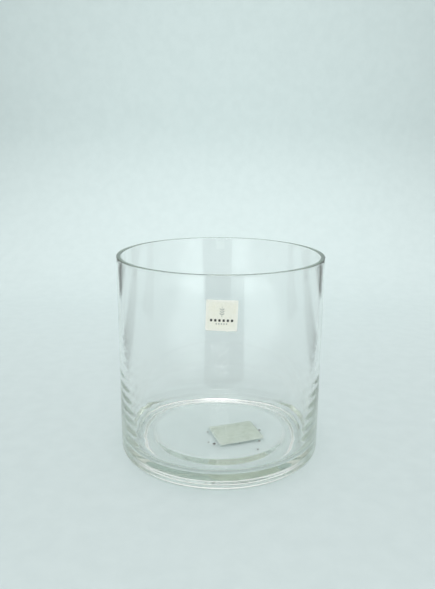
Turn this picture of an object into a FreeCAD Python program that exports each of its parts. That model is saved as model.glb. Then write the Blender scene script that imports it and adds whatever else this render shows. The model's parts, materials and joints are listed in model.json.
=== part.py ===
"""A straight-sided glass cylinder vase with a paper label on its wall and another under its base.

Units are millimetres. The vase stands on z = 0 with its axis on Z, and the wall label faces -Y.
"""

import math
import os

import FreeCAD, Part

# Glass vessel
OUTER_DIAMETER = 150.0
HEIGHT = 148.0
WALL = 3.2  # above the taper
OUTER_CORNER = 4.5  # fillet between the wall and the foot, outside
RIM_ROUND = 0.6  # fire-polished edge of the rim, inside and outside

# Inside wall: it thickens from TAPER_TOP down to TAPER_END, where it turns in to the floor
TAPER_TOP = 65.0
TAPER_END = 15.5
TAPER_END_RADIUS = 69.2
TAPER_LEAN = 0.08  # how far the wall leans in for each unit of fall, at the taper's end
FLOOR_EDGE = 8.2
FLOOR_EDGE_RADIUS = 61.5
FLOOR_SLOPE = 0.1
FLOOR_LEVEL = 2.0  # how far out from its edge the floor keeps that slope

# Inside floor: from its edge it falls to a shallow moat around a raised, flat middle
MOAT_RADIUS = 52.6
MOAT_FLOOR = 7.3
CROWN_RADIUS = 40.0  # where the shoulder of the raised middle becomes flat
CROWN_TOP = 9.6

# Underside: a foot ring around a shallow hollow
FOOT_INNER_RADIUS = 62.0
HOLLOW_RADIUS = 57.0  # edge of the hollow's flat ceiling
HOLLOW_HEIGHT = 2.2

# Label stock, from the glass outwards
ADHESIVE = 0.05
PAPER = 0.15
INK = 0.02
ADHESIVE_INSET = 0.3  # the adhesive stops short of the paper's edge

# Label on the wall
WALL_LABEL_SIDE = 20.0
WALL_LABEL_CORNER = 0.8
WALL_LABEL_Z = 122.5
WALL_LABEL_X = 1.0
WALL_LABEL_TURN = 2.0  # degrees, clockwise as seen from the front

# Print on the wall label, measured from the label's middle
SPRIG_LOW = -0.9
SPRIG_HIGH = 5.9
STEM_WIDTH = 0.3
LEAF_LENGTH = 2.1
LEAF_WIDTH = 0.8
LEAF_ANGLE = 40.0  # degrees above level
LEAF_HEIGHTS = (0.4, 1.9, 3.4)
BLOCK_COUNT = 6
BLOCK_WIDTH = 1.4
BLOCK_HEIGHT = 1.6
BLOCK_PITCH = 2.6
BLOCK_Z = -3.1
DOT_COUNT = 5
DOT_WIDTH = 0.85
DOT_HEIGHT = 0.95
DOT_PITCH = 1.6
DOT_Z = -5.3

# Label under the base
BASE_LABEL_LENGTH = 36.0
BASE_LABEL_WIDTH = 30.0
BASE_LABEL_CORNER = 1.5
BASE_LABEL_X = 13.0
BASE_LABEL_Y = -5.0
BASE_LABEL_TURN = 19.0  # degrees, anticlockwise as seen from above

OUTER_RADIUS = OUTER_DIAMETER / 2
INNER_RADIUS = OUTER_RADIUS - WALL
UP = FreeCAD.Vector(0, 0, 1)
FORWARD = FreeCAD.Vector(0, 1, 0)
ORIGIN = FreeCAD.Vector(0, 0, 0)


def point(radius, z):
    """A point of the section that the vessel is turned from."""
    return FreeCAD.Vector(radius, 0, z)


def line(start, end):
    return Part.LineSegment(start, end).toShape()


def quarter_arc(radius, z, size, middle_angle):
    """A quarter circle of the section, centred on (radius, z), around its middle angle in degrees."""
    angles = [math.radians(middle_angle + step) for step in (-45, 0, 45)]
    points = [point(radius + size * math.cos(a), z + size * math.sin(a)) for a in angles]
    return Part.Arc(*points).toShape()


def bezier(*poles):
    curve = Part.BezierCurve()
    curve.setPoles(list(poles))
    return curve.toShape()


def hollow_side():
    """The S-shaped side of the hollow under the base, from its ceiling down to the foot ring."""
    middle = (HOLLOW_RADIUS + FOOT_INNER_RADIUS) / 2
    return bezier(
        point(HOLLOW_RADIUS, HOLLOW_HEIGHT),
        point(middle, HOLLOW_HEIGHT),
        point(middle, 0),
        point(FOOT_INNER_RADIUS, 0),
    )


def taper_side():
    """The inside of the wall where it thickens, from the straight wall down to the turn of the floor."""
    fall = TAPER_TOP - TAPER_END
    return bezier(
        point(INNER_RADIUS, TAPER_TOP),
        point(INNER_RADIUS, TAPER_TOP - fall / 3),
        point(TAPER_END_RADIUS + TAPER_LEAN * fall / 5, TAPER_END + fall / 5),
        point(TAPER_END_RADIUS, TAPER_END),
    )


def floor_turn():
    """The curve from the wall into the floor."""
    fall = (TAPER_END - FLOOR_EDGE) / 2
    return bezier(
        point(TAPER_END_RADIUS, TAPER_END),
        point(TAPER_END_RADIUS - TAPER_LEAN * fall, TAPER_END - fall),
        point(FLOOR_EDGE_RADIUS + FLOOR_LEVEL, FLOOR_EDGE + FLOOR_LEVEL * FLOOR_SLOPE),
        point(FLOOR_EDGE_RADIUS, FLOOR_EDGE),
    )


def crown_shoulder():
    """The shoulder of the floor's raised middle, from the moat up to the flat top."""
    step = (MOAT_RADIUS - CROWN_RADIUS) / 3
    return bezier(
        point(MOAT_RADIUS, MOAT_FLOOR),
        point(CROWN_RADIUS + 2 * step, CROWN_TOP),
        point(CROWN_RADIUS + step, CROWN_TOP),
        point(CROWN_RADIUS, CROWN_TOP),
    )


def glass_vessel():
    foot_outer_radius = OUTER_RADIUS - OUTER_CORNER
    rim_start = HEIGHT - RIM_ROUND
    edges = [
        line(point(0, HOLLOW_HEIGHT), point(HOLLOW_RADIUS, HOLLOW_HEIGHT)),
        hollow_side(),
        line(point(FOOT_INNER_RADIUS, 0), point(foot_outer_radius, 0)),
        quarter_arc(foot_outer_radius, OUTER_CORNER, OUTER_CORNER, -45),
        line(point(OUTER_RADIUS, OUTER_CORNER), point(OUTER_RADIUS, rim_start)),
        quarter_arc(OUTER_RADIUS - RIM_ROUND, rim_start, RIM_ROUND, 45),
        line(point(OUTER_RADIUS - RIM_ROUND, HEIGHT), point(INNER_RADIUS + RIM_ROUND, HEIGHT)),
        quarter_arc(INNER_RADIUS + RIM_ROUND, rim_start, RIM_ROUND, 135),
        line(point(INNER_RADIUS, rim_start), point(INNER_RADIUS, TAPER_TOP)),
        taper_side(),
        floor_turn(),
        line(point(FLOOR_EDGE_RADIUS, FLOOR_EDGE), point(MOAT_RADIUS, MOAT_FLOOR)),
        crown_shoulder(),
        line(point(CROWN_RADIUS, CROWN_TOP), point(0, CROWN_TOP)),
        line(point(0, CROWN_TOP), point(0, HOLLOW_HEIGHT)),
    ]
    return Part.Face(Part.Wire(edges)).revolve(ORIGIN, UP, 360)


def wall_layer(outlines, below, thickness):
    """Bend outlines, drawn flat in XZ, onto the front wall as a layer that lies on what is below it."""
    prisms = []
    for outline in outlines:
        placed = outline.copy()
        placed.rotate(ORIGIN, FORWARD, WALL_LABEL_TURN)
        placed.translate(FreeCAD.Vector(WALL_LABEL_X, 0, WALL_LABEL_Z))
        prisms.append(placed.extrude(-FORWARD * (OUTER_RADIUS + WALL)))
    joined = prisms[0].multiFuse(prisms[1:]) if len(prisms) > 1 else prisms[0]
    inner = OUTER_RADIUS + below
    tube = Part.makeCylinder(inner + thickness, HEIGHT).cut(Part.makeCylinder(inner, HEIGHT))
    return joined.common(tube)


def upright_rectangle(width, height, x=0, z=0):
    """A flat face in XZ around its middle."""
    corners = [(-1, -1), (1, -1), (1, 1), (-1, 1), (-1, -1)]
    return Part.Face(Part.makePolygon([
        FreeCAD.Vector(x + side * width / 2, 0, z + end * height / 2) for side, end in corners
    ]))


def rounded_plate(width, height, corner, thickness):
    """A plate with rounded corners, its middle on the origin and its top at z = 0."""
    plate = Part.makeBox(width, height, thickness, FreeCAD.Vector(-width / 2, -height / 2, -thickness))
    upright = [edge for edge in plate.Edges if abs(edge.tangentAt(0).z) > 0.5]
    return plate.makeFillet(corner, upright)


def wall_label_outline(inset):
    side = WALL_LABEL_SIDE - 2 * inset
    plate = rounded_plate(side, side, WALL_LABEL_CORNER, 1)
    top = max(plate.Faces, key=lambda face: face.CenterOfMass.z)
    outline = top.copy()
    outline.rotate(ORIGIN, FreeCAD.Vector(1, 0, 0), 90)
    return outline


def wall_label_adhesive():
    return wall_layer([wall_label_outline(ADHESIVE_INSET)], 0, ADHESIVE)


def wall_label_paper():
    return wall_layer([wall_label_outline(0)], ADHESIVE, PAPER)


def leaf(height, side):
    """One pointed leaf of the printed sprig, on the stem at this height, to the left (-1) or right (1)."""
    angle = math.radians(LEAF_ANGLE)
    along = FreeCAD.Vector(side * math.cos(angle), 0, math.sin(angle))
    across = FreeCAD.Vector(-side * math.sin(angle), 0, math.cos(angle)) * (LEAF_WIDTH / 2)
    start = FreeCAD.Vector(0, 0, height)
    end = start + along * LEAF_LENGTH
    middle = (start + end) * 0.5
    edges = [Part.Arc(start, middle + across, end).toShape(), Part.Arc(end, middle - across, start).toShape()]
    return Part.Face(Part.Wire(edges))


def row(count, pitch, width, height, z):
    """Equal upright rectangles in a row that is centred on the label."""
    return [upright_rectangle(width, height, (i - (count - 1) / 2) * pitch, z) for i in range(count)]


def wall_label_grey_print():
    """A plain stem with pairs of leaves, and the row of small blocks at the bottom."""
    stem = upright_rectangle(STEM_WIDTH, SPRIG_HIGH - SPRIG_LOW, z=(SPRIG_HIGH + SPRIG_LOW) / 2)
    leaves = [leaf(height, side) for height in LEAF_HEIGHTS for side in (-1, 1)]
    dots = row(DOT_COUNT, DOT_PITCH, DOT_WIDTH, DOT_HEIGHT, DOT_Z)
    return wall_layer([stem, *leaves, *dots], ADHESIVE + PAPER, INK)


def wall_label_black_print():
    """The row of larger blocks below the sprig."""
    blocks = row(BLOCK_COUNT, BLOCK_PITCH, BLOCK_WIDTH, BLOCK_HEIGHT, BLOCK_Z)
    return wall_layer(blocks, ADHESIVE + PAPER, INK)


def base_layer(inset, below, thickness):
    """A rectangular layer under the base, stuck to the hollow's ceiling below what is above it."""
    plate = rounded_plate(
        BASE_LABEL_LENGTH - 2 * inset, BASE_LABEL_WIDTH - 2 * inset, BASE_LABEL_CORNER, thickness
    )
    plate.rotate(ORIGIN, UP, BASE_LABEL_TURN)
    plate.translate(FreeCAD.Vector(BASE_LABEL_X, BASE_LABEL_Y, HOLLOW_HEIGHT - below))
    return plate


def base_label_adhesive():
    return base_layer(ADHESIVE_INSET, 0, ADHESIVE)


def base_label_paper():
    return base_layer(0, ADHESIVE, PAPER)


def main():
    nodes = {
        "glass_vessel": glass_vessel(),
        "wall_label_adhesive": wall_label_adhesive(),
        "wall_label_paper": wall_label_paper(),
        "wall_label_grey_print": wall_label_grey_print(),
        "wall_label_black_print": wall_label_black_print(),
        "base_label_adhesive": base_label_adhesive(),
        "base_label_paper": base_label_paper(),
    }
    os.makedirs("parts", exist_ok=True)
    for name, shape in nodes.items():
        shape.exportStep(f"parts/{name}.step")
        print(f"{name}: valid {shape.isValid()}, {len(shape.Solids)} solids, {shape.Volume:.2f} mm3")


main()
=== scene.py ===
"""A glass cylinder vase with a paper label on its wall and another under its base.

Lengths are metres. The vase stands on z = 0 with its axis on Z, and the wall label faces -Y.
"""

import json
import math

import bmesh
import bpy
from mathutils import Matrix, Vector, noise


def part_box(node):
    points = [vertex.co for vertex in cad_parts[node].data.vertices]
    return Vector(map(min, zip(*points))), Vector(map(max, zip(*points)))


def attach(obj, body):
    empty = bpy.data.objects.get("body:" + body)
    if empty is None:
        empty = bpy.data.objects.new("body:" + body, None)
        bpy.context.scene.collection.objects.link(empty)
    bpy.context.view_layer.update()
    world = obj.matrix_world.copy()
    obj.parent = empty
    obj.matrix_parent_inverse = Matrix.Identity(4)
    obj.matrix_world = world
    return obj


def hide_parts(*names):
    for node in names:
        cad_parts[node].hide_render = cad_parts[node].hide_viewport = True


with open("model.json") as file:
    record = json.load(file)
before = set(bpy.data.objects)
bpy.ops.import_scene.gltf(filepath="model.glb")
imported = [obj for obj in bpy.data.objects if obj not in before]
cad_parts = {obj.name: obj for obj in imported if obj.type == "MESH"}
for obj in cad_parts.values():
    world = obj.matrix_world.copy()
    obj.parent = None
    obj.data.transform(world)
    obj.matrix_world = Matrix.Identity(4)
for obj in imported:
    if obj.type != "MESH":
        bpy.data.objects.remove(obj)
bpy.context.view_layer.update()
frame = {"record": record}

MM = 0.001

# The vessel's section: overall sizes from the frame, details as in the design
VESSEL_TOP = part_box("glass_vessel")[1]
OUTER_RADIUS = VESSEL_TOP[0]
HEIGHT = VESSEL_TOP[2]
INNER_RADIUS = [m for m in frame["record"]["mounts"] if m["name"] == "mouth"][0]["dims"]["r_mm"] * MM
OUTER_CORNER = 4.5 * MM
RIM_ROUND = 0.6 * MM
TAPER_TOP = 65.0 * MM
TAPER_END = 15.5 * MM
TAPER_END_RADIUS = 69.2 * MM
TAPER_LEAN = 0.08
FLOOR_EDGE = 8.2 * MM
FLOOR_EDGE_RADIUS = 61.5 * MM
FLOOR_SLOPE = 0.1
FLOOR_LEVEL = 2.0 * MM
MOAT_RADIUS = 52.6 * MM
MOAT_FLOOR = 7.3 * MM
CROWN_RADIUS = 40.0 * MM
CROWN_TOP = 9.6 * MM
FOOT_INNER_RADIUS = 62.0 * MM
HOLLOW_RADIUS = 57.0 * MM
HOLLOW_HEIGHT = 2.2 * MM
SEGMENTS = 288

# Unevenness of the inside wall: rings low on its sides, and slow waves all over
RING = 0.08 * MM
RING_PITCH = 7.5 * MM
RING_TOP = 100.0 * MM
RING_FADE = 20.0 * MM
RING_RIGHT = 0.6  # how strong the rings are on the +X side, compared with the -X side
WAVE = 0.02 * MM
WAVE_PITCH = 70.0 * MM
WAVE_FADE = 8.0 * MM

# The glass itself
GLASS_IOR = 1.52
GLASS_TINT = (0.50, 0.585, 0.49, 1)
GLASS_DENSITY = 8.0

# Labels, from the glass outwards
CONTACT = 0.02 * MM  # how far the adhesive is pressed into the glass, so that no air is left between them
ADHESIVE = 0.05 * MM
PAPER = 0.15 * MM
INK = 0.02 * MM
ADHESIVE_INSET = 0.3 * MM
SHEET_STEPS = 64

WALL_LABEL_SIDE = 20.0 * MM
WALL_LABEL_X = 1.0 * MM
WALL_LABEL_Z = 122.5 * MM
WALL_LABEL_TURN = math.radians(2.0)
WALL_LABEL_CORNER = 0.6 * MM
WORN_CORNER = 1.7 * MM  # the lower left corner, which is rubbed round and has come away
CORNER_LIFT = 0.55 * MM
CORNER_LIFT_REACH = 5.0 * MM
FLAKE_X = 3.9 * MM
FLAKE_WIDTH = 0.9 * MM
FLAKE_DROP = 0.5 * MM

SPRIG_LOW = -0.9 * MM
SPRIG_HIGH = 5.9 * MM
STEM_WIDTH = 0.3 * MM
LEAF_LENGTH = 2.1 * MM
LEAF_WIDTH = 0.8 * MM
LEAF_ANGLE = math.radians(40)
LEAF_HEIGHTS = (0.4 * MM, 1.9 * MM, 3.4 * MM)
BLOCK_COUNT = 6
BLOCK_SIZE = (1.4 * MM, 1.6 * MM)
BLOCK_PITCH = 2.6 * MM
BLOCK_Z = -3.1 * MM
DOT_COUNT = 5
DOT_SIZE = (0.85 * MM, 0.95 * MM)
DOT_PITCH = 1.6 * MM
DOT_Z = -5.3 * MM

BASE_LABEL_SIZE = (36.0 * MM, 30.0 * MM)
BASE_LABEL_X = 13.0 * MM
BASE_LABEL_Y = -5.0 * MM
BASE_LABEL_TURN = math.radians(19.0)
BASE_LABEL_CORNER = 2.0 * MM
BASE_LABEL_WEAR = 0.45 * MM
UNSTUCK = 0.4 * MM  # how far in from its near edge the base label has come away
SPECKS = (  # x and y on the base label's own plane, and radius, in millimetres
    (19.2, -2.5, 1.00), (-20.9, 7.5, 0.75), (-21.5, -11.0, 1.25), (-25.0, -8.0, 0.65),
    (12.5, -18.0, 0.90), (6.5, -28.0, 0.60), (19.4, 5.5, 0.45), (-3.0, -16.6, 0.40),
)

# The camera
SENSOR = 36.0
LENS = 38.52
CAMERA_PLACE = (0.0, -0.4509, 0.2307)
CAMERA_PITCH = 14.134
CAMERA_YAW = 0.267
CAMERA_ROLL = 0.402

# The stage: a pale sheet that is wide in front and narrower behind, where it runs up a wall
BACKDROP_TONES = ((0.60, 0.69, 0.69), (0.62, 0.71, 0.71))
SHEET_FRONT = -1.4
SHEET_FRONT_HALF = 1.3
SHEET_NECK = 0.07
SHEET_HALF = 0.195
SHEET_FLARE = 0.345
SHEET_BACK = 0.66
SHEET_BEND = 0.25
SHEET_RISE = 0.75
SHEET_SINK = 0.05 * MM
CARD_RANGE = (0.19, 0.37)
CARD_INNER = 0.2
CARD_OUTER = 0.8
# A dark card on the table in front, out of the picture: painted shadow on the table, seen in the glass as the
# dark upright band.
SHADOW_CARD_RANGE = (-0.25, -1.30)
SHADOW_CARD_NEAR = (-0.065, 0.105)  # its left and right edges at the near end of that range, seen from the vase
SHADOW_CARD_FAR = (-0.34, 0.58)
SHADOW_CARD_HEIGHT = 0.5 * MM
SHADOW_CARD_TONES = ((0.055, 0.065, 0.065), (0.075, 0.085, 0.085))
TABLE_TONES = ((0.14, 0.155, 0.15), (0.16, 0.175, 0.17))
TABLE_HALF = 4.0
TABLE_DROP = 1.0 * MM

# The light
WORLD_LOW = (0.45, 0.49, 0.46)
WORLD_HIGH = (1.05, 1.05, 1.05)
WORLD_TURN = 0.75  # where the surroundings reach their full brightness, from 0 straight down to 1 overhead
WALL_LAMP = 0.65
WALL_LAMP_SIZE = (0.9, 0.5)
WALL_LAMP_SPREAD = math.radians(60)
WALL_LAMP_PLACE = (0, -0.15, 1.1)
WALL_LAMP_AIM = (0, SHEET_BACK, 0.20)
FRONT_LAMP = 1.9
FRONT_LAMP_SIZE = (0.5, 0.35)
FRONT_LAMP_SPREAD = math.radians(120)
FRONT_LAMP_PLACE = (0, -1.1, 0.55)
FRONT_LAMP_AIM = (0, 0, 0.1)
TABLE_LAMP = 1.25
TABLE_LAMP_NEAR = -0.30
TABLE_LAMP_HEIGHT = 0.20
TABLE_LAMP_LENGTH = 0.75
TABLE_LAMP_SPREAD = math.radians(50)
TABLE_LAMPS = (  # side, start beside the axis, turn away from -Y in degrees, width
    (1, 0.10, 22, 0.36),
    (-1, 0.08, 16, 0.26),
)


# ---------------------------------------------------------------- meshes


def add_mesh(name, points, faces, smooth=True):
    """A mesh piece whose faces all look outwards."""
    mesh = bpy.data.meshes.new(name)
    mesh.from_pydata(points, [], faces)
    shell = bmesh.new()
    shell.from_mesh(mesh)
    bmesh.ops.recalc_face_normals(shell, faces=shell.faces)
    shell.to_mesh(mesh)
    shell.free()
    if smooth:
        mesh.shade_smooth()
    piece = bpy.data.objects.new(name, mesh)
    bpy.context.scene.collection.objects.link(piece)
    return piece


def finish_piece(piece, material, node=None):
    piece.data.materials.append(material)
    if node:
        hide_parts(node)
    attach(piece, "root")


# ---------------------------------------------------------------- the vessel


def line(start, end, steps):
    return [tuple(a + (b - a) * i / steps for a, b in zip(start, end)) for i in range(steps + 1)]


def arc(radius, z, size, start, end, steps):
    """An arc of the section, centred on (radius, z), from one angle in degrees to another."""
    angles = [math.radians(start + (end - start) * i / steps) for i in range(steps + 1)]
    return [(radius + size * math.cos(a), z + size * math.sin(a)) for a in angles]


def bezier(poles, steps):
    points = []
    for i in range(steps + 1):
        t = i / steps
        weights = ((1 - t) ** 3, 3 * t * (1 - t) ** 2, 3 * t * t * (1 - t), t ** 3)
        points.append(tuple(sum(w * pole[k] for w, pole in zip(weights, poles)) for k in (0, 1)))
    return points


def hollow_side():
    middle = (HOLLOW_RADIUS + FOOT_INNER_RADIUS) / 2
    poles = [(HOLLOW_RADIUS, HOLLOW_HEIGHT), (middle, HOLLOW_HEIGHT), (middle, 0), (FOOT_INNER_RADIUS, 0)]
    return bezier(poles, 16)


def taper_side():
    fall = TAPER_TOP - TAPER_END
    poles = [
        (INNER_RADIUS, TAPER_TOP),
        (INNER_RADIUS, TAPER_TOP - fall / 3),
        (TAPER_END_RADIUS + TAPER_LEAN * fall / 5, TAPER_END + fall / 5),
        (TAPER_END_RADIUS, TAPER_END),
    ]
    return bezier(poles, 90)


def floor_turn():
    fall = (TAPER_END - FLOOR_EDGE) / 2
    poles = [
        (TAPER_END_RADIUS, TAPER_END),
        (TAPER_END_RADIUS - TAPER_LEAN * fall, TAPER_END - fall),
        (FLOOR_EDGE_RADIUS + FLOOR_LEVEL, FLOOR_EDGE + FLOOR_LEVEL * FLOOR_SLOPE),
        (FLOOR_EDGE_RADIUS, FLOOR_EDGE),
    ]
    return bezier(poles, 20)


def crown_shoulder():
    step = (MOAT_RADIUS - CROWN_RADIUS) / 3
    heights = (MOAT_FLOOR, CROWN_TOP, CROWN_TOP, CROWN_TOP)
    return bezier([(MOAT_RADIUS - i * step, z) for i, z in enumerate(heights)], 16)


def vessel_section():
    """Half of the section, from the middle of the underside round to the middle of the inside floor."""
    foot_outer = OUTER_RADIUS - OUTER_CORNER
    rim_start = HEIGHT - RIM_ROUND
    stretches = [
        line((0, HOLLOW_HEIGHT), (HOLLOW_RADIUS, HOLLOW_HEIGHT), 24),
        hollow_side(),
        line((FOOT_INNER_RADIUS, 0), (foot_outer, 0), 4),
        arc(foot_outer, OUTER_CORNER, OUTER_CORNER, -90, 0, 16),
        line((OUTER_RADIUS, OUTER_CORNER), (OUTER_RADIUS, rim_start), 30),
        arc(OUTER_RADIUS - RIM_ROUND, rim_start, RIM_ROUND, 0, 90, 10),
        line((OUTER_RADIUS - RIM_ROUND, HEIGHT), (INNER_RADIUS + RIM_ROUND, HEIGHT), 1),
        arc(INNER_RADIUS + RIM_ROUND, rim_start, RIM_ROUND, 90, 180, 10),
        line((INNER_RADIUS, rim_start), (INNER_RADIUS, TAPER_TOP), 70),
        taper_side(),
        floor_turn(),
        line((FLOOR_EDGE_RADIUS, FLOOR_EDGE), (MOAT_RADIUS, MOAT_FLOOR), 4),
        crown_shoulder(),
        line((CROWN_RADIUS, CROWN_TOP), (0, CROWN_TOP), 20),
    ]
    return stretches[0][:1] + [place for stretch in stretches for place in stretch[1:]]


def unevenness(angle, z):
    """How far the inside wall lies out from its true radius."""
    fade = max(0, min(1, (RING_TOP - z) / RING_FADE, (z - CROWN_TOP) / RING_PITCH))
    side = math.cos(angle) ** 4 * (RING_RIGHT if math.cos(angle) > 0 else 1)
    rings = fade * side * math.sin(2 * math.pi * z / RING_PITCH + angle)
    ends = max(0, min(1, (HEIGHT - RIM_ROUND - z) / WAVE_FADE, (z - CROWN_TOP) / WAVE_FADE))
    turn = 2 * math.pi * z / WAVE_PITCH
    waves = ends * (math.sin(3 * angle + turn) + 0.6 * math.sin(7 * angle - 1.7 * turn)) / 1.6
    return RING * rings + WAVE * waves


def add_vessel():
    section = vessel_section()
    rows = section[1:-1]
    points = [(0, 0, section[0][1])]
    for radius, z in rows:
        inside_wall = radius <= INNER_RADIUS and z > CROWN_TOP
        for i in range(SEGMENTS):
            angle = 2 * math.pi * i / SEGMENTS
            reach = radius + unevenness(angle, z) if inside_wall else radius
            points.append((reach * math.cos(angle), reach * math.sin(angle), z))
    points.append((0, 0, section[-1][1]))
    top_row = 1 + (len(rows) - 1) * SEGMENTS
    faces = []
    for i in range(SEGMENTS):
        j = (i + 1) % SEGMENTS
        faces.append((0, 1 + j, 1 + i))
        for low in range(1, top_row, SEGMENTS):
            high = low + SEGMENTS
            faces.append((low + i, low + j, high + j, high + i))
        faces.append((top_row + i, top_row + j, len(points) - 1))
    finish_piece(add_mesh("vessel_glass", points, faces), glass_material(), "glass_vessel")


# ---------------------------------------------------------------- the labels


def rounded(x, y, half_x, half_y, corner):
    """Bring a point of a square corner in, so that the corner's border becomes an arc."""
    over_x, over_y = abs(x) - (half_x - corner), abs(y) - (half_y - corner)
    if over_x <= 0 or over_y <= 0:
        return x, y
    pull = max(over_x, over_y) / math.hypot(over_x, over_y)
    return (
        math.copysign(half_x - corner + over_x * pull, x),
        math.copysign(half_y - corner + over_y * pull, y),
    )


def add_sheet(name, size, shape, place):
    """A thin sheet: shape(x, y) trims its flat outline, and place(x, y, side) puts its back or face.

    The attribute "edge" is 1 on the sheet's border and falls to 0 within a twelfth of its width.
    """
    steps = SHEET_STEPS
    points, edge = [], []
    for side in (0, 1):
        for j in range(steps + 1):
            for i in range(steps + 1):
                u, v = 2 * i / steps - 1, 2 * j / steps - 1
                x, y = shape(u * size[0] / 2, v * size[1] / 2)
                points.append(place(x, y, side))
                edge.append(max(0, 1 - 6 * (1 - max(abs(u), abs(v)))))
    row, back = steps + 1, (steps + 1) ** 2
    faces = []
    for j in range(steps):
        for i in range(steps):
            a = j * row + i
            faces.append((a, a + row, a + row + 1, a + 1))
            faces.append((back + a, back + a + 1, back + a + row + 1, back + a + row))
    for i in range(steps):
        for a, b in (
            (i, i + 1), (steps * row + i, steps * row + i + 1),
            (i * row, (i + 1) * row), (i * row + steps, (i + 1) * row + steps),
        ):
            faces.append((a, b, back + b, back + a))
    piece = add_mesh(name, points, faces)
    attribute = piece.data.attributes.new("edge", "FLOAT", "POINT")
    attribute.data.foreach_set("value", edge)
    return piece


def on_wall(x, y, depth):
    """A place on the wall label's own plane, bent round the vessel, at a depth outside the glass."""
    across = WALL_LABEL_X + x * math.cos(WALL_LABEL_TURN) + y * math.sin(WALL_LABEL_TURN)
    up = WALL_LABEL_Z - x * math.sin(WALL_LABEL_TURN) + y * math.cos(WALL_LABEL_TURN)
    angle = math.asin(across / OUTER_RADIUS)
    reach = OUTER_RADIUS + depth
    return reach * math.sin(angle), -reach * math.cos(angle), up


def under_base(x, y, depth):
    """A place on the base label's own plane, at a depth below the hollow's ceiling."""
    return (
        BASE_LABEL_X + x * math.cos(BASE_LABEL_TURN) - y * math.sin(BASE_LABEL_TURN),
        BASE_LABEL_Y + x * math.sin(BASE_LABEL_TURN) + y * math.cos(BASE_LABEL_TURN),
        HOLLOW_HEIGHT - depth,
    )


def corner_lift(x, y):
    """How far the wall label stands off the glass towards its lower left corner."""
    half = WALL_LABEL_SIDE / 2
    near = 1 - math.hypot(x + half, y + half) / CORNER_LIFT_REACH
    return CORNER_LIFT * near ** 2 if near > 0 else 0


def add_wall_label():
    half = WALL_LABEL_SIDE / 2

    def paper_shape(x, y):
        on_edge = (max(abs(x), abs(y)) / half) ** 20
        wear = 1 + 0.006 * on_edge * noise.noise(Vector((x, y, 0)) / (1.1 * MM))
        corner = WORN_CORNER if x < 0 and y < 0 else WALL_LABEL_CORNER
        x, y = rounded(x, y, half, half, corner)
        flake = max(0, 1 - abs(x - FLAKE_X) / FLAKE_WIDTH) * (on_edge if y < 0 else 0)
        return x * wear, y * wear - FLAKE_DROP * flake

    def film_shape(x, y):
        side = half - ADHESIVE_INSET
        return rounded(x, y, side, side, WORN_CORNER if x < 0 and y < 0 else WALL_LABEL_CORNER)

    film_side = WALL_LABEL_SIDE - 2 * ADHESIVE_INSET
    film = add_sheet(
        "wall_label_film", (film_side, film_side), film_shape,
        lambda x, y, side: on_wall(x, y, ADHESIVE if side else -CONTACT),
    )
    finish_piece(film, film_material(), "wall_label_adhesive")
    paper = add_sheet(
        "wall_label_sheet", (WALL_LABEL_SIDE, WALL_LABEL_SIDE), paper_shape,
        lambda x, y, side: on_wall(x, y, ADHESIVE + side * PAPER + corner_lift(x, y)),
    )
    finish_piece(paper, wall_paper_material(), "wall_label_paper")


def rounded_block(x, y, width, height):
    """The outline of a printed block, with its corners a little rounded as ink leaves them."""
    corner = min(width, height) / 6
    outline = []
    for quarter, (side, end) in enumerate(((1, 1), (-1, 1), (-1, -1), (1, -1))):
        for step in range(4):
            angle = math.radians(90 * quarter + 30 * step)
            outline.append((
                x + side * (width / 2 - corner) + corner * math.cos(angle),
                y + end * (height / 2 - corner) + corner * math.sin(angle),
            ))
    return outline


def block_row(count, pitch, size, y):
    return [rounded_block((i - (count - 1) / 2) * pitch, y, *size) for i in range(count)]


def leaf(height, side):
    """The outline of one pointed leaf, on the stem at this height, to the left (-1) or right (1)."""
    outline = []
    for half in (1, -1):
        for step in range(8):
            t = step / 8 if half > 0 else 1 - step / 8
            along, across = t * LEAF_LENGTH, half * LEAF_WIDTH / 2 * math.sin(math.pi * t)
            outline.append((
                side * (along * math.cos(LEAF_ANGLE) - across * math.sin(LEAF_ANGLE)),
                height + along * math.sin(LEAF_ANGLE) + across * math.cos(LEAF_ANGLE),
            ))
    return outline


def add_print(name, outlines, material, node):
    """Thin shapes of ink on the wall label's paper."""
    points, faces = [], []
    for outline in outlines:
        start, count = len(points), len(outline)
        for depth in (0, INK):
            points += [on_wall(x, y, ADHESIVE + PAPER + depth) for x, y in outline]
        faces.append(tuple(range(start, start + count)))
        faces.append(tuple(range(start + count, start + 2 * count)))
        for i in range(count):
            a, b = start + i, start + (i + 1) % count
            faces.append((a, b, b + count, a + count))
    finish_piece(add_mesh(name, points, faces, smooth=False), material, node)


def add_wall_print():
    stem = rounded_block(0, (SPRIG_LOW + SPRIG_HIGH) / 2, STEM_WIDTH, SPRIG_HIGH - SPRIG_LOW)
    leaves = [leaf(height, side) for height in LEAF_HEIGHTS for side in (-1, 1)]
    dots = block_row(DOT_COUNT, DOT_PITCH, DOT_SIZE, DOT_Z)
    grey = ink_material("grey_ink", (0.46, 0.48, 0.44), (0.56, 0.58, 0.53))
    add_print("wall_label_sprig", [stem, *leaves, *dots], grey, "wall_label_grey_print")
    blocks = block_row(BLOCK_COUNT, BLOCK_PITCH, BLOCK_SIZE, BLOCK_Z)
    black = ink_material("black_ink", (0.02, 0.022, 0.02), (0.06, 0.065, 0.06))
    add_print("wall_label_blocks", blocks, black, "wall_label_black_print")


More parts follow.
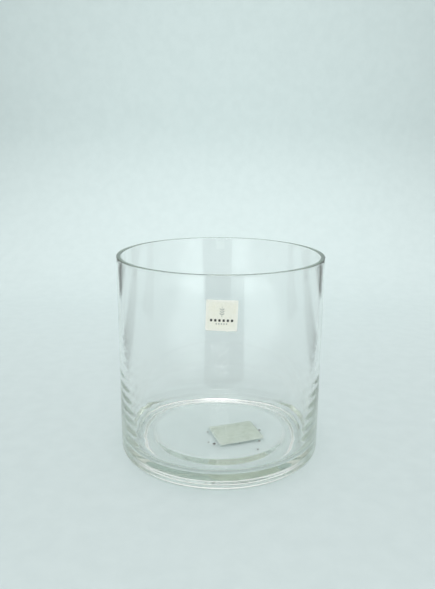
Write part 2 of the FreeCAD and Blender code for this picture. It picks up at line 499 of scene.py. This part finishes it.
def add_base_label():
    half_x, half_y = BASE_LABEL_SIZE[0] / 2, BASE_LABEL_SIZE[1] / 2

    def worn(x, y, inset):
        """A rectangle with rounded corners and a torn, wavy border."""
        on_edge = max(abs(x) / half_x, abs(y) / half_y) ** 12
        tear = BASE_LABEL_WEAR * on_edge * (
            noise.noise(Vector((x, y, 0)) / (3.5 * MM)) + 0.5 * noise.noise(Vector((x, y, 1)) / (1.2 * MM))
        )
        x, y = rounded(x, y, half_x - inset, half_y - inset, BASE_LABEL_CORNER)
        return x * (1 + tear / half_x), y * (1 + tear / half_y)

    def film_shape(x, y):
        x, y = worn(x, y, ADHESIVE_INSET)
        stuck = (y + half_y) / (2 * half_y)
        wander = 0.35 * UNSTUCK * noise.noise(Vector((x, 0, 2)) / (6 * MM))
        return x, y + (1 - stuck) ** 3 * (UNSTUCK + wander)

    def paper_place(x, y, side):
        loose = max(0, 1 - (y + half_y) / (3 * UNSTUCK))
        crease = 0.5 + noise.noise(Vector((x, y, 3)) / (5 * MM))
        return under_base(x, y, ADHESIVE + side * PAPER + 0.15 * MM * loose ** 2 * crease)

    film_size = (BASE_LABEL_SIZE[0] - 2 * ADHESIVE_INSET, BASE_LABEL_SIZE[1] - 2 * ADHESIVE_INSET)
    film = add_sheet(
        "base_label_film", film_size, film_shape,
        lambda x, y, side: under_base(x, y, ADHESIVE if side else -CONTACT),
    )
    finish_piece(film, base_film_material(), "base_label_adhesive")
    paper = add_sheet("base_label_sheet", BASE_LABEL_SIZE, lambda x, y: worn(x, y, 0), paper_place)
    finish_piece(paper, base_paper_material(), "base_label_paper")


def add_specks():
    """Crumbs of dirt caught in the glue round the base label."""
    crumbs = bmesh.new()
    for x, y, size in SPECKS:
        place = Matrix.Translation(under_base(x * MM, y * MM, 0.25 * size * MM))
        flat = Matrix.Diagonal((1, 0.7, 0.5, 1))
        added = bmesh.ops.create_icosphere(crumbs, subdivisions=3, radius=size * MM, matrix=place @ flat)
        for vertex in added["verts"]:
            vertex.co += vertex.normal * 0.3 * size * MM * noise.noise(vertex.co / (0.4 * MM))
    mesh = bpy.data.meshes.new("base_specks")
    crumbs.to_mesh(mesh)
    crumbs.free()
    mesh.shade_smooth()
    piece = bpy.data.objects.new("base_specks", mesh)
    bpy.context.scene.collection.objects.link(piece)
    dirt = grainy_material("dirt", (0.05, 0.035, 0.03), (0.13, 0.085, 0.07), 2500, 0.8, 0.3)
    finish_piece(piece, dirt)


# ---------------------------------------------------------------- materials


def new_material(name):
    material = bpy.data.materials.new(name)
    material.use_nodes = True
    nodes = material.node_tree.nodes
    return nodes, material.node_tree.links, nodes["Principled BSDF"], material


def add_noise(nodes, links, scale, detail=4.0, stretch=(1, 1, 1)):
    """Noise in the object's own space, as a socket that runs from 0 to 1."""
    place = nodes.new("ShaderNodeTexCoord")
    mapping = nodes.new("ShaderNodeMapping")
    mapping.inputs["Scale"].default_value = stretch
    texture = nodes.new("ShaderNodeTexNoise")
    texture.inputs["Scale"].default_value = scale
    texture.inputs["Detail"].default_value = detail
    links.new(place.outputs["Object"], mapping.inputs["Vector"])
    links.new(mapping.outputs["Vector"], texture.inputs["Vector"])
    return texture.outputs["Fac"]


def add_ramp(nodes, links, source, stops):
    ramp = nodes.new("ShaderNodeValToRGB")
    elements = ramp.color_ramp.elements
    for element, (position, colour) in zip(elements, stops):
        element.position, element.color = position, (*colour, 1)
    links.new(source, ramp.inputs["Fac"])
    return ramp.outputs["Color"]


def add_range(nodes, links, source, low, high):
    spread = nodes.new("ShaderNodeMapRange")
    spread.inputs["From Min"].default_value = 0.3
    spread.inputs["From Max"].default_value = 0.7
    spread.inputs["To Min"].default_value = low
    spread.inputs["To Max"].default_value = high
    links.new(source, spread.inputs["Value"])
    return spread.outputs["Result"]


def add_bump(nodes, links, shader, source, strength, distance):
    bump = nodes.new("ShaderNodeBump")
    bump.inputs["Strength"].default_value = strength
    bump.inputs["Distance"].default_value = distance
    links.new(source, bump.inputs["Height"])
    links.new(bump.outputs["Normal"], shader.inputs["Normal"])


def mix_colours(nodes, links, factor, first, second, strength=1.0, blend="MIX"):
    """Mix two colour sockets by a factor socket times a strength."""
    mix = nodes.new("ShaderNodeMix")
    mix.data_type = "RGBA"
    mix.blend_type = blend
    scaled = nodes.new("ShaderNodeMath")
    scaled.operation = "MULTIPLY"
    scaled.inputs[1].default_value = strength
    links.new(factor, scaled.inputs[0])
    links.new(scaled.outputs["Value"], mix.inputs["Factor"])
    links.new(first, mix.inputs["A"])
    links.new(second, mix.inputs["B"])
    return mix.outputs["Result"]


def edge_attribute(nodes):
    attribute = nodes.new("ShaderNodeAttribute")
    attribute.attribute_name = "edge"
    return attribute.outputs["Fac"]


def grainy_material(name, dark, light, scale, roughness, bump):
    """A matt surface whose tone drifts between two colours, with a grain in its relief."""
    nodes, links, shader, material = new_material(name)
    drift = add_noise(nodes, links, scale / 12)
    links.new(add_ramp(nodes, links, drift, ((0.35, dark), (0.65, light))), shader.inputs["Base Color"])
    grain = add_noise(nodes, links, scale)
    links.new(add_range(nodes, links, grain, roughness - 0.08, roughness + 0.08), shader.inputs["Roughness"])
    add_bump(nodes, links, shader, grain, bump, 0.05 * MM)
    return material


def glass_material():
    """Soda-lime glass: clear, grey-green where it is thick, with faint smears from handling."""
    nodes, links, shader, material = new_material("clear_glass")
    shader.inputs["Base Color"].default_value = (1, 1, 1, 1)
    shader.inputs["IOR"].default_value = GLASS_IOR
    shader.inputs["Transmission Weight"].default_value = 1.0
    smears = add_noise(nodes, links, 22, detail=6.0, stretch=(1, 1, 0.35))
    links.new(add_range(nodes, links, smears, 0.0, 0.03), shader.inputs["Roughness"])
    absorption = nodes.new("ShaderNodeVolumeAbsorption")
    absorption.inputs["Color"].default_value = GLASS_TINT
    absorption.inputs["Density"].default_value = GLASS_DENSITY
    links.new(absorption.outputs["Volume"], nodes["Material Output"].inputs["Volume"])
    return material


def wall_paper_material():
    """Uncoated cream label paper: fibres, a faint yellowing in patches, and a paler, rubbed border."""
    nodes, links, shader, material = new_material("wall_label_paper")
    fibres = add_noise(nodes, links, 2600, detail=5.0, stretch=(1, 1, 0.4))
    tone = add_ramp(nodes, links, fibres, ((0.30, (0.83, 0.84, 0.745)), (0.70, (0.93, 0.93, 0.845))))
    patches = add_noise(nodes, links, 160)
    yellow = add_ramp(nodes, links, patches, ((0.45, (1.0, 1.0, 1.0)), (0.75, (1.0, 0.985, 0.93))))
    tone = mix_colours(nodes, links, patches, tone, yellow, 1.0, "MULTIPLY")
    rubbed = add_ramp(nodes, links, fibres, ((0.30, (0.93, 0.93, 0.87)), (0.70, (0.96, 0.96, 0.92))))
    tone = mix_colours(nodes, links, edge_attribute(nodes), tone, rubbed, 0.6)
    links.new(tone, shader.inputs["Base Color"])
    links.new(add_range(nodes, links, fibres, 0.68, 0.86), shader.inputs["Roughness"])
    add_bump(nodes, links, shader, fibres, 0.5, 0.04 * MM)
    return material


def film_material():
    """Dry glue seen through the glass: cream, with a mottle of small bubbles."""
    nodes, links, shader, material = new_material("adhesive_film")
    bubbles = add_noise(nodes, links, 1100, detail=3.0)
    tone = add_ramp(nodes, links, bubbles, ((0.42, (0.88, 0.88, 0.79)), (0.62, (0.80, 0.80, 0.70))))
    links.new(tone, shader.inputs["Base Color"])
    links.new(add_range(nodes, links, bubbles, 0.30, 0.50), shader.inputs["Roughness"])
    add_bump(nodes, links, shader, bubbles, 0.3, 0.03 * MM)
    return material


def base_film_material():
    """Glue and paper under the base: a pale, blotched patch that darkens in a few damp spots; its grey-green
    tones are partly painted shade of the hollow under the base.
    """
    nodes, links, shader, material = new_material("base_film")
    blotches = add_noise(nodes, links, 190, detail=6.0)
    # Painted shade: these tones are darker and greener than the glue itself, standing in for the shade in the
    # hollow under the base.
    tone = add_ramp(nodes, links, blotches, ((0.36, (0.60, 0.665, 0.58)), (0.60, (0.71, 0.775, 0.70))))
    border = add_ramp(nodes, links, blotches, ((0.40, (0.66, 0.74, 0.67)), (0.60, (0.78, 0.85, 0.80))))
    tone = mix_colours(nodes, links, edge_attribute(nodes), tone, border, 0.8)
    links.new(tone, shader.inputs["Base Color"])
    links.new(add_range(nodes, links, blotches, 0.45, 0.70), shader.inputs["Roughness"])
    add_bump(nodes, links, shader, blotches, 0.2, 0.05 * MM)
    return material


def base_paper_material():
    nodes, links, shader, material = new_material("base_label_paper")
    fibres = add_noise(nodes, links, 1800, detail=5.0, stretch=(1, 0.4, 1))
    # Painted shade: the paper's grey-green tones are darker than the paper itself, standing in for the shade
    # in the hollow under the base; the stains are its own.
    tone = add_ramp(nodes, links, fibres, ((0.30, (0.66, 0.72, 0.66)), (0.70, (0.76, 0.82, 0.76))))
    stains = add_noise(nodes, links, 120)
    stain_tone = add_ramp(nodes, links, stains, ((0.50, (1.0, 1.0, 1.0)), (0.75, (0.93, 0.90, 0.84))))
    tone = mix_colours(nodes, links, stains, tone, stain_tone, 1.0, "MULTIPLY")
    links.new(tone, shader.inputs["Base Color"])
    links.new(add_range(nodes, links, fibres, 0.70, 0.88), shader.inputs["Roughness"])
    add_bump(nodes, links, shader, fibres, 0.5, 0.04 * MM)
    return material


def ink_material(name, dark, light):
    """Printed ink: thin enough for the paper's grain to show, with a slight sheen."""
    return grainy_material(name, dark, light, 4200, 0.48, 0.25)


# ---------------------------------------------------------------- stage, light and camera


def add_backdrop():
    outline = [(SHEET_FRONT, 0, SHEET_FRONT_HALF), (SHEET_NECK - 0.01, 0, SHEET_FRONT_HALF)]
    outline += [(y, 0, SHEET_HALF + SHEET_FLARE * y) for y in (SHEET_NECK, SHEET_BACK - SHEET_BEND)]
    for i in range(1, 25):
        angle = math.radians(90 * i / 24)
        y = SHEET_BACK - SHEET_BEND + SHEET_BEND * math.sin(angle)
        outline.append((y, SHEET_BEND * (1 - math.cos(angle)), SHEET_HALF + SHEET_FLARE * y))
    outline.append((SHEET_BACK, SHEET_RISE, SHEET_HALF + SHEET_FLARE * SHEET_BACK))
    points = [(side * half, y, z - SHEET_SINK) for y, z, half in outline for side in (-1, 1)]
    faces = [(2 * i, 2 * i + 1, 2 * i + 3, 2 * i + 2) for i in range(len(outline) - 1)]
    sheet = add_mesh("backdrop", points, faces)
    sheet.data.materials.append(grainy_material("backdrop_paper", *BACKDROP_TONES, 900, 0.8, 0.15))


def add_side_cards():
    """A pale card on the table on each side, whose reflection lightens the upright edges of the glass."""
    near, far = CARD_RANGE
    paper = grainy_material("card_paper", *BACKDROP_TONES, 900, 0.8, 0.15)
    for side in (-1, 1):
        inner, outer = side * CARD_INNER, side * CARD_OUTER
        corners = [(inner, near, 0), (outer, near, 0), (outer, far, 0), (inner, far, 0)]
        card = add_mesh(f"side_card_{'left' if side < 0 else 'right'}", corners, [(0, 1, 2, 3)])
        card.location.z = -2 * SHEET_SINK
        card.data.materials.append(paper)


def add_front_shadow_card():
    """A dark card on the table in front, outside the picture: a painted shadow on the table, whose reflection
    is the dark upright band.
    """
    near, far = SHADOW_CARD_RANGE
    corners = [(SHADOW_CARD_NEAR[0], near), (SHADOW_CARD_NEAR[1], near), (SHADOW_CARD_FAR[1], far), (SHADOW_CARD_FAR[0], far)]
    shadow_card = add_mesh("front_shadow_card", [(x, y, SHADOW_CARD_HEIGHT) for x, y in corners], [(0, 1, 2, 3)])
    shadow_card.data.materials.append(grainy_material("painted_shadow_card", *SHADOW_CARD_TONES, 600, 0.85, 0.2))


def add_table():
    corners = ((-1, -1), (1, -1), (1, 1), (-1, 1))
    points = [(TABLE_HALF * x, TABLE_HALF * y, -TABLE_DROP) for x, y in corners]
    table = add_mesh("table", points, [(0, 1, 2, 3)])
    table.data.materials.append(grainy_material("table_top", *TABLE_TONES, 300, 0.7, 0.2))


def add_world():
    """Surroundings that are bright overhead and darker towards the horizon."""
    world = bpy.data.worlds.new("studio")
    world.use_nodes = True
    nodes, links = world.node_tree.nodes, world.node_tree.links
    place = nodes.new("ShaderNodeTexCoord")
    split = nodes.new("ShaderNodeSeparateXYZ")
    links.new(place.outputs["Generated"], split.inputs["Vector"])
    tone = add_ramp(nodes, links, split.outputs["Z"], ((0.0, WORLD_LOW), (WORLD_TURN, WORLD_HIGH)))
    links.new(tone, nodes["Background"].inputs["Color"])
    nodes["Background"].inputs["Strength"].default_value = 1.0
    bpy.context.scene.world = world


def add_lamp(name, size, strength, spread):
    """A soft rectangular lamp of a given brightness, which the camera doesn't see."""
    data = bpy.data.lights.new(name, "AREA")
    data.shape = "RECTANGLE"
    data.size, data.size_y = size
    data.spread = spread
    data.energy = strength * size[0] * size[1] * math.pi
    lamp = bpy.data.objects.new(name, data)
    lamp.visible_camera = False
    bpy.context.scene.collection.objects.link(lamp)
    return lamp


def add_table_lamps():
    """Two lamps over the table in front, whose pools of light show in the glass as upright bands."""
    for side, start, turn, width in TABLE_LAMPS:
        lamp = add_lamp("table_lamp", (width, TABLE_LAMP_LENGTH), TABLE_LAMP, TABLE_LAMP_SPREAD)
        azimuth = math.radians(turn)
        along = Vector((side * math.sin(azimuth), -math.cos(azimuth), 0))
        across = Vector((side * math.cos(azimuth), math.sin(azimuth), 0))
        near = Vector((side * start, TABLE_LAMP_NEAR, TABLE_LAMP_HEIGHT))
        middle = near + along * TABLE_LAMP_LENGTH / 2 + across * width / 2
        heading = Matrix.Rotation(math.atan2(along.x, -along.y), 4, "Z")
        lamp.matrix_world = Matrix.Translation(middle) @ heading


def add_aimed_lamp(name, size, strength, spread, place, aim):
    lamp = add_lamp(name, size, strength, spread)
    heading = (Vector(aim) - Vector(place)).to_track_quat("-Z", "Y")
    lamp.matrix_world = Matrix.Translation(place) @ heading.to_matrix().to_4x4()


def add_camera():
    data = bpy.data.cameras.new("camera")
    data.sensor_width = SENSOR
    data.lens = LENS
    data.clip_start = 0.01
    camera = bpy.data.objects.new("camera", data)
    turn = (
        Matrix.Rotation(math.radians(CAMERA_YAW), 4, "Z")
        @ Matrix.Rotation(math.radians(90 - CAMERA_PITCH), 4, "X")
        @ Matrix.Rotation(math.radians(CAMERA_ROLL), 4, "Z")
    )
    camera.matrix_world = Matrix.Translation(CAMERA_PLACE) @ turn
    bpy.context.scene.collection.objects.link(camera)
    bpy.context.scene.camera = camera


def set_up_light_paths():
    """Glass needs long paths: light is reflected many times inside the thick base."""
    scene = bpy.context.scene
    scene.view_settings.view_transform = "Standard"
    scene.cycles.max_bounces = 64
    scene.cycles.transmission_bounces = 64
    scene.cycles.glossy_bounces = 64
    scene.cycles.diffuse_bounces = 12
    scene.cycles.caustics_refractive = True
    scene.cycles.caustics_reflective = True
    scene.cycles.blur_glossy = 0.0
    scene.cycles.sample_clamp_indirect = 0.0


set_up_light_paths()
add_camera()
add_backdrop()
add_side_cards()
add_front_shadow_card()
add_table()
add_world()
add_table_lamps()
add_aimed_lamp("wall_lamp", WALL_LAMP_SIZE, WALL_LAMP, WALL_LAMP_SPREAD, WALL_LAMP_PLACE, WALL_LAMP_AIM)
add_aimed_lamp("front_lamp", FRONT_LAMP_SIZE, FRONT_LAMP, FRONT_LAMP_SPREAD, FRONT_LAMP_PLACE, FRONT_LAMP_AIM)
add_vessel()
add_wall_label()
add_wall_print()
add_base_label()
add_specks()
